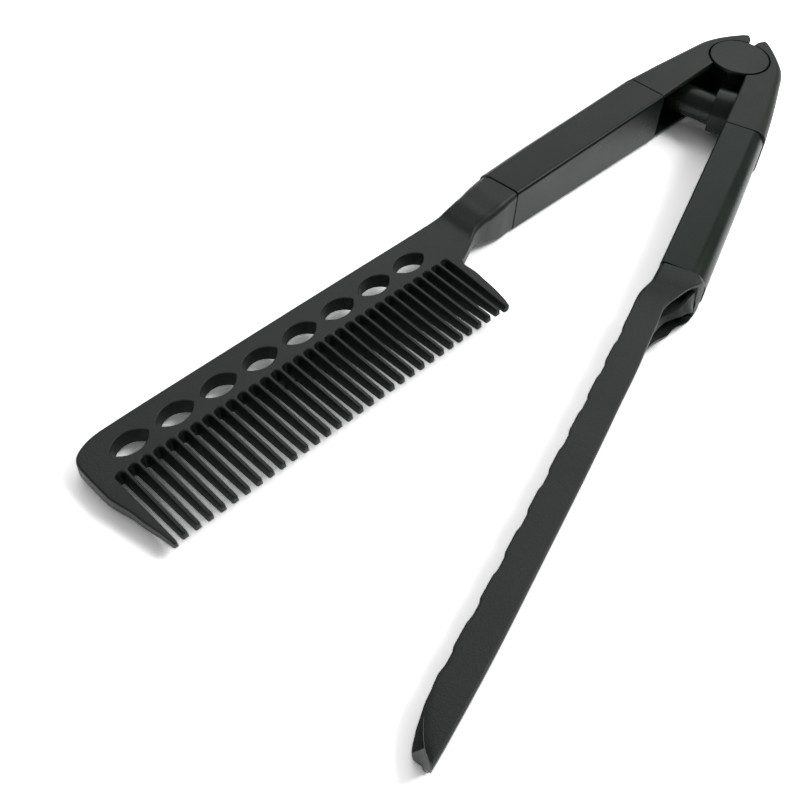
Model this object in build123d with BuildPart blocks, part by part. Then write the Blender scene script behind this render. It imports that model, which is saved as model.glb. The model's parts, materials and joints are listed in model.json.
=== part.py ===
from build123d import *
import math
import os

os.makedirs("parts", exist_ok=True)

# A tong-like hair comb: a comb arm and a clip arm, hinged at one end and pushed apart by a
# spring. The origin is on the hinge axis, at the bottom face of the lower hinge cap. +Z is the
# hinge axis and the arms open evenly about -Y, the comb arm towards -X and the clip arm
# towards +X. On an arm, "reach" is the distance along it from the hinge, "outward" points away
# from the other arm and "level" is the height above the middle plane. Every piece is built on
# the +X side, and the comb arm's pieces are then mirrored to -X. Millimetres and degrees.

# Arms
half_opening = 10.4
clip_lean = 2.5
mid_height = 8.75
arm_inner = 3.8
arm_taper = 0.0244
hinge_half_height = 8.6
inner_round = 0.9

# Sleeves, between the seam at the head and the seam at the comb or clip
head_seam = 32.0
comb_seam = 94.2
sleeve_outer_at_head = 16.0
sleeve_outer_at_comb = 15.5
sleeve_round_at_head = 4.0
sleeve_round_at_comb = 4.5
sleeve_wall = 1.6
sleeve_clearance = 0.15
head_tang_length = 14.0
comb_tang_length = 18.0

# Heads: reach, inner side, outer side and outer corner radius, from the seam to the beak
head_stations = (
    (head_seam, arm_inner, sleeve_outer_at_head, sleeve_round_at_head),
    (20.0, arm_inner, 14.9, 3.4),
    (8.0, arm_inner, 13.5, 2.8),
    (0.0, 3.0, 12.4, 2.3),
    (-7.0, 2.4, 9.5, 1.8),
    (-12.0, 1.8, 5.8, 1.2),
)
head_wall = 2.0
head_cavity_half = 6.5
bulkhead = 4.0
beak_wall = 2.5
beak_face = ((-12.2, 5.6), (-10.6, 3.3), (-8.6, 2.3))

# Hinge
cap_radius = 8.7
cap_recess_radius = 9.0
cap_thickness = 2.25
cap_socket_floor = 0.8
cap_edge_round = 0.3
pin_radius = 2.0
pin_end_gap = 0.05
pin_fit_fixed = 0.02
pin_fit_turning = 0.06
eye_radius = 6.5
eye_web_half = 5.0
comb_eye_levels = (3.2, 6.4)
clip_eye_half = 3.0

# Spring and its guides
guide_reach = 16.5
guide_seat = 12.2
guide_seat_depth = 1.1
guide_spot_clearance = 0.15
cup_radius = 6.2
cup_bore = 5.35
cup_rim = -2.2
cup_floor = 11.2
plunger_radius = 3.8
plunger_tip = -7.2
plunger_tip_chamfer = 0.5
spring_radius = 4.0
spring_wire = 0.9
spring_free_end = 2.3
spring_turns = 4

# Comb shank: share of its length, inner side, outer side, half height and outer corner radius
seam_half_height = hinge_half_height - arm_taper * comb_seam
comb_half = 1.85
comb_back = 14.0
shank_length = 24.8
neck_reach = comb_seam + shank_length
neck_inner = -0.4
neck_round = 2.0
shank_stations = (
    (0.0, arm_inner, sleeve_outer_at_comb, seam_half_height, sleeve_round_at_comb),
    (0.25, 2.9, 15.0, 4.6, 3.2),
    (0.48, 1.6, 14.4, 3.1, 2.0),
    (0.72, 0.6, 14.1, 2.1, 1.2),
    (1.0, neck_inner, comb_back, comb_half, 0.6),
)

# Comb teeth, and the guards at the neck and at the free end
gap_pitch = 3.2
gap_count = 31
gap_start = 4.2
first_gap = neck_reach + gap_start
last_gap = first_gap + gap_pitch * (gap_count - 1)
root_line = 1.15
scoop_radius = 0.7
tooth_tip = -18.2
tooth_root_half = (0.9, 0.4, 1.7)
tooth_tip_half = (0.5, 0.22, 1.0)
guard_tip = -18.8
guard_tip_half = 1.0
guard_bow = 0.9
guard_lean = 0.35
neck_guard_width = 2.1
neck_guard_tip_width = 0.5
neck_guard_shoulder = -3.0
end_guard_width = 4.1
end_guard_tip_width = 0.9
end_guard_shoulder = -1.0

# Comb plate: its back edge, rounded corner and lens-shaped openings
comb_end = last_gap + scoop_radius + end_guard_width
comb_corner_length = 8.5
comb_corner_depth = 5.0
back_dip = 0.6
back_dip_distance = 11.0
lens_pitch = 11.825
lens_count = 8
lens_start = 11.0
lens_centre = 7.2
lens_half_length = 4.8
lens_half_height = 2.8

# Clip, with its reach taken from the seam at the sleeve. First its shank: the shares of its
# length and outward positions of its inner and outer edges, and the levels of its upper
# surface and of the roof of the pockets beside its middle rib
clip_half = 3.75
slot_half = 2.3
shoulder_length = 2.9
shoulder_lap = 0.6
shoulder_step = 0.2
clip_shank_length = 15.0
slot_start = shoulder_length + clip_shank_length
shank_inner = ((0.0, arm_inner + shoulder_step), (0.13, arm_inner), (0.44, 2.2), (0.8, 2.2))
shank_outer = (
    (0.8, 9.3),
    (0.6, 10.4),
    (0.43, 12.4),
    (0.31, 14.2),
    (0.13, sleeve_outer_at_comb - shoulder_step),
    (0.0, sleeve_outer_at_comb),
)
shank_top = ((0.0, seam_half_height - shoulder_step), (0.27, 5.1), (0.53, 4.2), (0.87, clip_half))
rib_half = 0.7
pocket_inner = 5.5
pocket_roof = ((0.87, slot_half), (0.53, 2.8), (0.27, 3.6), (0.08, 4.6))

# Clip plates: the slot between them, the nubs on the inner edge, the tip, whose reach is
# taken from the end of the slot, and the back edge by shares of the slot's length
slot_length = 115.5
slot_end = slot_start + slot_length
nub_line = 2.9
nub_depth = 0.45
nub_count = 9
nub_start = 5.3
nub_end = 5.8
nub_pitch = (slot_length - nub_start - nub_end) / nub_count
nub_ridge = 4.5
nub_step = 1.3
clip_tip = ((-8.5, nub_line), (-2.2, 3.9), (1.0, 5.6), (4.3, 7.8), (5.8, 9.1), (5.3, 9.5))
clip_back = ((0.8, 10.0), (0.55, 10.5), (0.35, 10.3), (0.17, 9.8), (0.0, 9.2))

# Screws that hold the sleeves on the tangs
screw_radius = 1.2
screw_length = 9.0
screw_head_radius = 2.4
screw_clearance = 0.05
screw_outward = 9.8
screw_reaches = (head_seam + head_tang_length / 2, comb_seam - comb_tang_length / 2)


def arm_frame(origin, angle):
    """Plane of an arm at this angle from -Y: x is the reach, y is outward, z is the level."""
    turn = math.radians(angle)
    along = (math.sin(turn), -math.cos(turn), 0)
    return Plane(origin=origin, x_dir=along, z_dir=(0, 0, 1))


hinge = Plane(origin=(0, 0, mid_height))
arm = arm_frame(hinge.origin, half_opening)
blade = arm_frame(arm.from_local_coords((comb_seam, 0, 0)), half_opening - clip_lean)


def across(frame, reach):
    """Plane across an arm: x is outward, y is up and the normal runs along the arm."""
    origin = frame.from_local_coords((reach, 0, 0))
    return Plane(origin=origin, x_dir=frame.y_dir, z_dir=frame.x_dir)


def beside(frame, reach, outward):
    """Plane along an arm: x is the reach, y is up and the normal points inward."""
    origin = frame.from_local_coords((reach, outward, 0))
    return Plane(origin=origin, x_dir=frame.x_dir, z_dir=-frame.y_dir)


def half_height(reach):
    """Half height of an arm, which tapers away from the hinge."""
    return hinge_half_height - arm_taper * max(reach, 0.0)


def section(reach, inner, outer, half, outer_round, inset=0.0):
    """Section of an arm with large outer corners and small inner ones, all sides inset."""
    width = outer - inner - 2 * inset
    height = 2 * (half - inset)
    corner = max(outer_round - inset, inner_round / 2)
    inner_corner = max(inner_round - inset, inner_round / 2)
    with BuildSketch(across(arm, reach)) as face:
        with Locations(((inner + outer) / 2, 0)):
            Rectangle(width, height)
        fillet(face.vertices().group_by(Axis.X)[-1], corner)
        fillet(face.vertices().group_by(Axis.X)[0], inner_corner)
    return face.sketch


def sleeve_section(reach, inset):
    """Section of the sleeve at this reach."""
    share = (reach - head_seam) / (comb_seam - head_seam)
    outer = sleeve_outer_at_head + share * (sleeve_outer_at_comb - sleeve_outer_at_head)
    corner = sleeve_round_at_head + share * (sleeve_round_at_comb - sleeve_round_at_head)
    return section(reach, arm_inner, outer, half_height(reach), corner, inset)


def mirror_to_comb_side(piece):
    """The same piece on the comb arm."""
    with BuildPart() as mirrored:
        add(piece)
        mirror(about=Plane.YZ, mode=Mode.REPLACE)
    return mirrored.part


def finish(piece, name):
    """Label a finished piece and write it."""
    piece.label = name
    export_step(piece, f"parts/{name}.step")


def build_sleeve():
    """Grip sleeve: a tube over the tangs, with two countersunk holes underneath."""
    with BuildPart() as sleeve:
        loft([sleeve_section(reach, 0) for reach in (head_seam, comb_seam)])
        loft([sleeve_section(reach, sleeve_wall) for reach in (head_seam, comb_seam)], mode=Mode.SUBTRACT)
        for reach in screw_reaches:
            spot = arm.from_local_coords((reach, screw_outward, -half_height(reach)))
            with Locations(Plane(origin=spot, z_dir=(0, 0, -1))):
                CounterSinkHole(
                    radius=screw_radius + screw_clearance,
                    counter_sink_radius=screw_head_radius + screw_clearance,
                    depth=2 * sleeve_wall,
                    counter_sink_angle=90,
                )
    return sleeve.part


def build_tang(start, end):
    """Solid tang that fills the sleeve from one reach to another."""
    inset = sleeve_wall + sleeve_clearance
    with BuildPart() as tang:
        loft([sleeve_section(reach, inset) for reach in (start, end)])
    return tang.part


def cut_screw_hole(reach):
    """Space of a sleeve screw in a tang, as a solid to take away."""
    with BuildPart() as hole:
        with BuildSketch(arm.offset(-half_height(reach))):
            with Locations((reach, screw_outward)):
                Circle(screw_radius + screw_clearance)
        extrude(amount=screw_length + sleeve_wall)
    return hole.part


def build_screws():
    """The two countersunk screws of one arm, flush with the underside of its sleeve."""
    head_slope = screw_head_radius - screw_radius
    with BuildPart() as screws:
        for reach in screw_reaches:
            spot = arm.from_local_coords((reach, screw_outward, -half_height(reach)))
            with BuildSketch(Plane(origin=spot, x_dir=(1, 0, 0), z_dir=(0, -1, 0))):
                with BuildLine():
                    Polyline(
                        (0, screw_clearance),
                        (screw_head_radius, screw_clearance),
                        (screw_radius, screw_clearance + head_slope),
                        (screw_radius, screw_length - screw_radius),
                        (0, screw_length),
                        close=True,
                    )
                make_face()
            revolve(axis=Axis(spot, (0, 0, 1)))
    return screws.part


def head_outer(reach):
    """Outward position of the head's outer surface, in line between its stations."""
    for (far, _, far_outer, _), (near, _, near_outer, _) in zip(head_stations, head_stations[1:]):
        if reach >= near:
            return near_outer + (far_outer - near_outer) * (reach - near) / (far - near)
    return head_stations[-1][2]


def cavity_corner(reach):
    """Point on the cavity's outer wall at this reach."""
    return (reach, head_outer(reach) - head_wall)


def build_head(eye_ranges, bore):
    """Head: a shell open on its inner side, with hinge eyes, a guide seat and a tang."""
    beak_tip = head_stations[-1][0]
    cavity_start = head_seam - bulkhead
    cavity_end = beak_tip + beak_wall
    web = [(reach, head_outer(reach) - head_wall / 2) for reach in (eye_web_half, 0, -eye_web_half)]
    with BuildPart() as head:
        loft([
            section(reach, inner, outer, half_height(reach), corner)
            for reach, inner, outer, corner in head_stations
        ])
        with BuildSketch(arm.offset(-head_cavity_half)):
            with BuildLine():
                Polyline(
                    (cavity_start, -arm_inner),
                    cavity_corner(cavity_start),
                    *[cavity_corner(station[0]) for station in head_stations[1:-1]],
                    cavity_corner(cavity_end),
                    (cavity_end, -arm_inner),
                    close=True,
                )
            make_face()
        extrude(amount=2 * head_cavity_half, mode=Mode.SUBTRACT)
        with BuildSketch(hinge.offset(-mid_height)):
            Circle(cap_recess_radius)
        extrude(amount=2 * mid_height, mode=Mode.SUBTRACT)
        with BuildSketch(arm.offset(-mid_height)):
            with BuildLine():
                Polyline(
                    *beak_face,
                    (beak_face[-1][0], -arm_inner),
                    (beak_tip - beak_wall, -arm_inner),
                    (beak_tip - beak_wall, beak_face[0][1]),
                    close=True,
                )
            make_face()
        extrude(amount=2 * mid_height, mode=Mode.SUBTRACT)
        for low, high in eye_ranges:
            with BuildSketch(arm.offset(low)):
                with BuildLine():
                    Polyline((-eye_web_half, 0), (eye_web_half, 0), *web, close=True)
                make_face()
                Circle(eye_radius)
                Circle(bore, mode=Mode.SUBTRACT)
            extrude(amount=high - low)
        with BuildSketch(beside(arm, guide_reach, guide_seat)):
            Circle(cup_radius + guide_spot_clearance)
        extrude(amount=-guide_seat_depth)
        with BuildSketch(beside(arm, guide_reach, guide_seat)):
            Circle(cup_radius + guide_spot_clearance)
        extrude(amount=guide_seat_depth, mode=Mode.SUBTRACT)
        add(build_tang(head_seam - bulkhead / 2, head_seam + head_tang_length))
        add(cut_screw_hole(screw_reaches[0]), mode=Mode.SUBTRACT)
    return head.part


def build_cap():
    """Hinge cap under the heads, with a blind socket for the pin."""
    with BuildPart() as cap:
        with BuildSketch(Plane.XY):
            Circle(cap_radius)
        extrude(amount=cap_thickness)
        fillet(cap.edges().group_by(Axis.Z)[0], cap_edge_round)
        with BuildSketch(Plane.XY.offset(cap_socket_floor)):
            Circle(pin_radius + pin_fit_fixed)
        extrude(amount=cap_thickness, mode=Mode.SUBTRACT)
    return cap.part


def build_lens():
    """Face of one lens-shaped opening."""
    with BuildSketch() as lens:
        with BuildLine():
            ThreePointArc((-lens_half_length, 0), (0, lens_half_height), (lens_half_length, 0))
            ThreePointArc((-lens_half_length, 0), (0, -lens_half_height), (lens_half_length, 0))
        make_face()
    return lens.sketch


def build_plate():
    """Comb plate with its two end guards, lens-shaped openings and tooth gap roots."""
    plate_start = neck_reach - neck_round
    end_guard = last_gap + scoop_radius
    neck_guard = first_gap - scoop_radius
    neck_edge = neck_guard - neck_guard_width
    guard_middle = (guard_tip + neck_guard_shoulder) / 2
    dip = (neck_reach + back_dip_distance, comb_back - back_dip)
    corner_start = (comb_end - comb_corner_length, comb_back)
    corner_end = (comb_end, comb_back - comb_corner_depth)
    end_shoulder = (comb_end, end_guard_shoulder)
    end_middle = ((comb_end + end_guard) / 2 + guard_bow / 2, guard_middle)
    end_tip = (end_guard + end_guard_tip_width, guard_tip)
    neck_tip = (neck_guard + guard_lean - neck_guard_tip_width, guard_tip)
    neck_middle = (neck_edge + guard_bow, guard_middle)
    neck_shoulder = (neck_edge, neck_guard_shoulder)
    neck_start = (neck_reach - neck_round / 2, neck_inner)
    first_lens = neck_reach + lens_start
    lens_spots = [(first_lens + lens_pitch * index, lens_centre) for index in range(lens_count)]
    gap_spots = [(first_gap + gap_pitch * index, root_line) for index in range(gap_count)]
    with BuildPart() as plate:
        with BuildSketch(arm.offset(-comb_half)):
            with BuildLine():
                Spline((plate_start, comb_back), dip, corner_start, tangents=((1, 0), (1, 0)))
                Spline(corner_start, corner_end, tangents=((1, 0), (0, -1)))
                Line(corner_end, end_shoulder)
                ThreePointArc(end_shoulder, end_middle, end_tip)
                Polyline(
                    end_tip,
                    (end_guard + guard_lean, guard_tip),
                    (end_guard, root_line),
                    (neck_guard, root_line),
                    (neck_guard + guard_lean, guard_tip),
                    neck_tip,
                )
                ThreePointArc(neck_tip, neck_middle, neck_shoulder)
                TangentArc(neck_shoulder, neck_start, tangent=(0, 1))
                Polyline(neck_start, (plate_start, neck_inner), (plate_start, comb_back))
            make_face()
            with Locations(*lens_spots):
                add(build_lens(), mode=Mode.SUBTRACT)
            with Locations(*gap_spots):
                Circle(scoop_radius, mode=Mode.SUBTRACT)
        extrude(amount=2 * comb_half)
        with BuildSketch(across(arm, plate_start)):
            with BuildLine():
                Polyline(
                    (root_line, comb_half),
                    (guard_tip, guard_tip_half),
                    (guard_tip, comb_half),
                    close=True,
                )
            make_face()
            mirror(about=Plane.XZ)
        extrude(amount=comb_end - plate_start, mode=Mode.SUBTRACT)
    return plate.part


def tooth_section(outward, halves):
    """Six-sided section of a tooth: widest at the middle plane, narrow on its two faces."""
    width, flat, level = halves
    upper = ((-width, 0), (-flat, level), (flat, level), (width, 0))
    with BuildSketch(Plane(origin=(0, outward, 0), x_dir=(1, 0, 0), z_dir=(0, -1, 0))) as face:
        with BuildLine():
            Polyline(*upper, (flat, -level), (-flat, -level), close=True)
        make_face()
    return face.sketch


def build_tooth():
    """One tooth at zero reach, in an arm's own directions, rooted in the plate."""
    root = root_line + scoop_radius / 2
    with BuildPart() as tooth:
        loft([tooth_section(root, tooth_root_half), tooth_section(tooth_tip, tooth_tip_half)])
    return tooth.part


def build_comb():
    """Comb moulding: toothed plate, tapering shank and the tang inside the sleeve."""
    tooth = build_tooth()
    with BuildPart() as comb:
        loft([
            section(comb_seam + share * shank_length, *sides)
            for share, *sides in shank_stations
        ])
        add(build_plate())
        for index in range(gap_count - 1):
            reach = first_gap + gap_pitch * (index + 0.5)
            with Locations(arm.location * Location((reach, 0, 0))):
                add(tooth)
        add(build_tang(comb_seam - comb_tang_length, comb_seam))
        add(cut_screw_hole(screw_reaches[1]), mode=Mode.SUBTRACT)
    return comb.part


def nub_corners():
    """Corners of the nubs along the clip's inner edge: each ridge falls to a valley."""
    corners = []
    for index in range(nub_count):
        reach = slot_start + nub_start + nub_pitch * index
        corners += [
            (reach - nub_ridge, nub_line - nub_depth),
            (reach, nub_line - nub_depth),
            (reach + nub_step, nub_line),
            (reach + nub_ridge, nub_line),
        ]
    return corners


def along_shank(points):
    """The same points with their shares of the clip's shank turned into reaches."""
    return [(shoulder_length + share * clip_shank_length, value) for share, value in points]


def build_clip():
    """Clip moulding: two parallel plates with nubs, joined at the tip and at the shank."""
    tip = [(slot_end + beyond, outward) for beyond, outward in clip_tip]
    back = [(slot_start + share * slot_length, outward) for share, outward in clip_back]
    top = along_shank(shank_top) + [(tip[-2][0], clip_half)]
    underside = [(reach, -level) for reach, level in reversed(top)]
    roof = along_shank(pocket_roof)
    clear_width = 2 * sleeve_outer_at_comb
    with BuildPart() as clip:
        with BuildSketch(blade.offset(-seam_half_height)):
            with BuildLine():
                Polyline(*along_shank(shank_inner), *nub_corners(), *tip)
                Spline(tip[-1], *back)
                Spline(back[-1], *along_shank(shank_outer))
                Line(along_shank(shank_outer)[-1], along_shank(shank_inner)[0])
            make_face()
        extrude(amount=2 * seam_half_height)
        with BuildSketch(beside(blade, 0, clear_width)):
            with BuildLine():
                Polyline(*top, *underside, close=True)
            make_face()
        extrude(amount=clear_width, mode=Mode.INTERSECT)
        with BuildSketch(beside(blade, 0, clear_width)):
            with Locations(((slot_start + slot_end) / 2, 0)):
                Rectangle(slot_length, 2 * slot_half)
        extrude(amount=clear_width, mode=Mode.SUBTRACT)
        with BuildSketch(beside(blade, 0, clear_width)):
            with BuildLine():
                Polyline(
                    (roof[-1][0], rib_half),
                    (slot_start, rib_half),
                    (slot_start, slot_half),
                    *roof,
                    close=True,
                )
            make_face()
            mirror(about=Plane.XZ)
        extrude(amount=clear_width - pocket_inner, mode=Mode.SUBTRACT)
        shoulder_end = comb_seam + shoulder_length + shoulder_lap
        loft([sleeve_section(reach, 0) for reach in (comb_seam, shoulder_end)])
        add(build_tang(comb_seam - comb_tang_length, comb_seam))
        add(cut_screw_hole(screw_reaches[1]), mode=Mode.SUBTRACT)
    return clip.part


# Sleeves and their screws
sleeve_part = build_sleeve()
finish(mirror_to_comb_side(sleeve_part), "comb_sleeve")
finish(sleeve_part, "clip_sleeve")
screw_pair = build_screws()
finish(mirror_to_comb_side(screw_pair), "comb_arm_screws")
finish(screw_pair, "clip_arm_screws")

# Heads: two eyes on the comb arm, one between them on the clip arm
low_level, high_level = comb_eye_levels
comb_eyes = ((low_level, high_level), (-high_level, -low_level))
clip_eyes = ((-clip_eye_half, clip_eye_half),)
finish(mirror_to_comb_side(build_head(comb_eyes, pin_radius + pin_fit_fixed)), "comb_head")
finish(build_head(clip_eyes, pin_radius + pin_fit_turning), "clip_head")

# Hinge caps, the upper one a mirror image of the lower one
lower_cap = build_cap()
with BuildPart() as upper_cap:
    add(lower_cap)
    mirror(about=hinge, mode=Mode.REPLACE)
finish(lower_cap, "pivot_cap_bottom")
finish(upper_cap.part, "pivot_cap_top")

# Hinge pin, in the caps' blind sockets
with BuildPart() as pivot_pin:
    with BuildSketch(Plane.XY.offset(cap_socket_floor + pin_end_gap)):
        Circle(pin_radius)
    extrude(amount=2 * (mid_height - cap_socket_floor - pin_end_gap))
finish(pivot_pin.part, "pivot_pin")

# Plunger on the comb arm's head
with BuildPart() as plunger:
    with BuildSketch(beside(arm, guide_reach, guide_seat)):
        Circle(plunger_radius)
    extrude(amount=guide_seat - plunger_tip)
    chamfer(plunger.faces().sort_by(Axis(arm.origin, arm.y_dir))[0].edges(), plunger_tip_chamfer)
finish(mirror_to_comb_side(plunger.part), "spring_plunger")

# Cup on the clip arm's head, open towards the plunger
with BuildPart() as spring_cup:
    with BuildSketch(beside(arm, guide_reach, guide_seat)):
        Circle(cup_radius)
    extrude(amount=guide_seat - cup_rim)
    with BuildSketch(beside(arm, guide_reach, cup_floor)):
        Circle(cup_bore)
    extrude(amount=cup_floor - cup_rim, mode=Mode.SUBTRACT)
finish(spring_cup.part, "spring_cup")

# Compression spring on the floor of the cup
with BuildPart() as opening_spring:
    height = cup_floor - spring_free_end - spring_wire
    start = beside(arm, guide_reach, cup_floor - spring_wire / 2)
    with BuildLine():
        pitch = height / spring_turns
        coil = Helix(pitch, height, spring_radius, center=start.origin, direction=start.z_dir)
    with BuildSketch(Plane(origin=coil @ 0, z_dir=coil % 0)):
        Circle(spring_wire / 2)
    sweep(path=coil, is_frenet=True)
finish(opening_spring.part, "opening_spring")

# Comb and clip
finish(mirror_to_comb_side(build_comb()), "comb")
finish(build_clip(), "clip")
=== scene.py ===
import json
import math

import bmesh
import bpy
import numpy as np
from mathutils import Matrix, Vector
from mathutils.geometry import tessellate_polygon

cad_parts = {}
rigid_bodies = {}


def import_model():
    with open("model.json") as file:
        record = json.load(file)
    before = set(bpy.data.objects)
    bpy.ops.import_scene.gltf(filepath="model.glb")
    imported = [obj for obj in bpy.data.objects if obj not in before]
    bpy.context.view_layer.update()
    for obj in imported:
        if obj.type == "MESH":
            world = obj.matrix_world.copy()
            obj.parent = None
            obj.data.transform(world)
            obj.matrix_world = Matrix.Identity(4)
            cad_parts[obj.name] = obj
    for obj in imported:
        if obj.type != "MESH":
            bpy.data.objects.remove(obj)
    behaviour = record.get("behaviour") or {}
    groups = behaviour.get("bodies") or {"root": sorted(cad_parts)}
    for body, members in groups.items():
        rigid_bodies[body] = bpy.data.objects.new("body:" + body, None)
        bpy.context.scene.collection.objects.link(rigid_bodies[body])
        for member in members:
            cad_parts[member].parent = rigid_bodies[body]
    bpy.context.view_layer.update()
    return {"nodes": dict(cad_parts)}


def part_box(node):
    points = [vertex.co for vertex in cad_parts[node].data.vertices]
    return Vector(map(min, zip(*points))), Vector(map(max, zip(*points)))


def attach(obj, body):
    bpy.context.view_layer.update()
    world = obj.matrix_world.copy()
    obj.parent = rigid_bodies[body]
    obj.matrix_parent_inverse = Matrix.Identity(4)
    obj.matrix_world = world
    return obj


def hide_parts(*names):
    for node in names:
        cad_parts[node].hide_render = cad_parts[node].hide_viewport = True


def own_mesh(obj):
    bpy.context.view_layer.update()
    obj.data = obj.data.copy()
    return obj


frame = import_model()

# ----------------------------------------
# Hinge caps: two round black plastic caps, one flush with each side of the heads. They close the
# hinge and hold the ends of its pin. Each is turned about the hinge axis with a small edge round.
MILLIMETRE = 0.001
HINGE_LEVEL = (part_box("pivot_cap_top")[1].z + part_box("pivot_cap_bottom")[0].z) / 2
CAP_RADIUS = 8.6
CAP_OUTER_LEVEL = 8.75
CAP_INNER_LEVEL = 6.5
CAP_EDGE = 0.3
CAP_UNDER_LEVEL = 7.85
CAP_BOSS_RADIUS = 6.3
TURN_STEPS = 96
SEAM_DISTANCE, FLAT_DISTANCE = 2e-6, 1e-7


def rounding(radius, steps):
    """Quarter circle as (distance in from the wall, drop below the face), face first."""
    turn = np.linspace(0, math.pi / 2, steps + 1)
    return np.stack([radius * (1 - np.sin(turn)), radius * (1 - np.cos(turn))], -1)


class Shell:
    """Grids of points and their faces, gathered patch by patch and made into one object."""

    def __init__(self):
        self.points = []
        self.faces = []
        self.count = 0

    def faces_of(self, points, faces):
        """Add points with faces that number them from zero."""
        points = np.asarray(points, float).reshape(-1, 3)
        self.faces += [tuple(int(v) + self.count for v in face) for face in faces]
        self.points.append(points)
        self.count += len(points)

    def grid(self, rows, around=False):
        """Quads between a grid's rows: corner (i, j) joins (i + 1, j), and the last column joins
        the first when the rows run around."""
        rows = np.asarray(rows, float)
        high, wide = rows.shape[:2]
        columns = wide if around else wide - 1
        i, j = np.meshgrid(np.arange(high - 1), np.arange(columns), indexing="ij")
        k = (j + 1) % wide
        quads = np.stack([i * wide + j, i * wide + k, (i + 1) * wide + k, (i + 1) * wide + j], -1)
        self.faces_of(rows, quads.reshape(-1, 4))

    def lid(self, ring):
        """Close a ring with one face."""
        self.faces_of(ring, [range(len(ring))])

    def build(self, name, sharp=32.0):
        """Merge the seams, turn the faces outwards, and shade smooth but for real corners."""
        mesh = bpy.data.meshes.new(name)
        mesh.from_pydata(np.concatenate(self.points).tolist(), [], self.faces)
        work = bmesh.new()
        work.from_mesh(mesh)
        bmesh.ops.remove_doubles(work, verts=work.verts, dist=SEAM_DISTANCE)
        bmesh.ops.dissolve_degenerate(work, edges=work.edges, dist=FLAT_DISTANCE)
        bmesh.ops.recalc_face_normals(work, faces=work.faces)
        work.to_mesh(mesh)
        work.free()
        mesh.shade_smooth()
        mesh.set_sharp_from_angle(angle=math.radians(sharp))
        piece = bpy.data.objects.new(name, mesh)
        bpy.context.scene.collection.objects.link(piece)
        shading = piece.modifiers.new("flat_faces_stay_flat", "WEIGHTED_NORMAL")
        shading.keep_sharp = True
        return piece


PIT_SCALE, GLOSS_SCALE, TINT_SCALE = 3000.0, 60.0, 1400.0
PIT_UNIT = 0.0001
GLOSS_SPREAD, TINT_SPREAD = 0.04, 0.3
NOISE_LOW, NOISE_HIGH = 0.3, 0.7


def new_material(name):
    """Material with nodes, its node tree and its shader."""
    material = bpy.data.materials.new(name)
    material.use_nodes = True
    return material, material.node_tree, material.node_tree.nodes["Principled BSDF"]


def vary_gloss(tree, share, rough, spread, low=0.0, high=1.0):
    """Let roughness run over rough +- spread while the share runs from low to high."""
    gloss = tree.nodes.new("ShaderNodeMapRange")
    gloss.inputs["From Min"].default_value = low
    gloss.inputs["From Max"].default_value = high
    gloss.inputs["To Min"].default_value = rough - spread
    gloss.inputs["To Max"].default_value = rough + spread
    tree.links.new(share, gloss.inputs["Value"])
    tree.links.new(gloss.outputs["Result"], tree.nodes["Principled BSDF"].inputs["Roughness"])


def vary_tint(tree, share, colour, low, high):
    """Let the colour run from low to high times its value with the share."""
    tint = tree.nodes.new("ShaderNodeMix")
    tint.data_type = "RGBA"
    tint.inputs["A"].default_value = (*[low * c for c in colour], 1)
    tint.inputs["B"].default_value = (*[high * c for c in colour], 1)
    tree.links.new(share, tint.inputs["Factor"])
    tree.links.new(tint.outputs["Result"], tree.nodes["Principled BSDF"].inputs["Base Color"])


def skin_group():
    """Moulded skin: fine spark-eroded pits, slow changes of gloss and faint clouds of tint, all
    noise over Object coordinates."""
    group = bpy.data.node_groups.new("moulded_skin", "ShaderNodeTree")
    group.interface.new_socket("Pit Depth", in_out="INPUT", socket_type="NodeSocketFloat")
    for label in ("Height", "Gloss", "Tint"):
        group.interface.new_socket(label, in_out="OUTPUT", socket_type="NodeSocketFloat")
    nodes, links = group.nodes, group.links
    inside = nodes.new("NodeGroupInput")
    outside = nodes.new("NodeGroupOutput")
    place = nodes.new("ShaderNodeTexCoord").outputs["Object"]

    def noise(scale, detail):
        texture = nodes.new("ShaderNodeTexNoise")
        texture.inputs["Scale"].default_value = scale
        texture.inputs["Detail"].default_value = detail
        links.new(place, texture.inputs["Vector"])
        return texture

    depth = nodes.new("ShaderNodeMath")
    depth.operation = "MULTIPLY"
    links.new(noise(PIT_SCALE, 2.0).outputs["Fac"], depth.inputs[0])
    links.new(inside.outputs["Pit Depth"], depth.inputs[1])
    links.new(depth.outputs[0], outside.inputs["Height"])
    links.new(noise(GLOSS_SCALE, 4.0).outputs["Fac"], outside.inputs["Gloss"])
    links.new(noise(TINT_SCALE, 3.0).outputs["Fac"], outside.inputs["Tint"])
    return group


MOULDED_SKIN = skin_group()


def moulded_plastic(name, colour, rough, pit_depth, specular):
    """Black plastic with the moulded skin: its tint, mean roughness, depth of the pits, and the
    strength of its gloss."""
    material, tree, shader = new_material(name)
    shader.inputs["Specular IOR Level"].default_value = specular
    skin = tree.nodes.new("ShaderNodeGroup")
    skin.node_tree = MOULDED_SKIN
    skin.inputs["Pit Depth"].default_value = pit_depth
    bump = tree.nodes.new("ShaderNodeBump")
    bump.inputs["Distance"].default_value = PIT_UNIT
    tree.links.new(skin.outputs["Height"], bump.inputs["Height"])
    tree.links.new(bump.outputs["Normal"], shader.inputs["Normal"])
    vary_gloss(tree, skin.outputs["Gloss"], rough, GLOSS_SPREAD, NOISE_LOW, NOISE_HIGH)
    vary_tint(tree, skin.outputs["Tint"], colour, 1 - TINT_SPREAD, 1 + TINT_SPREAD)
    return material


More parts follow.
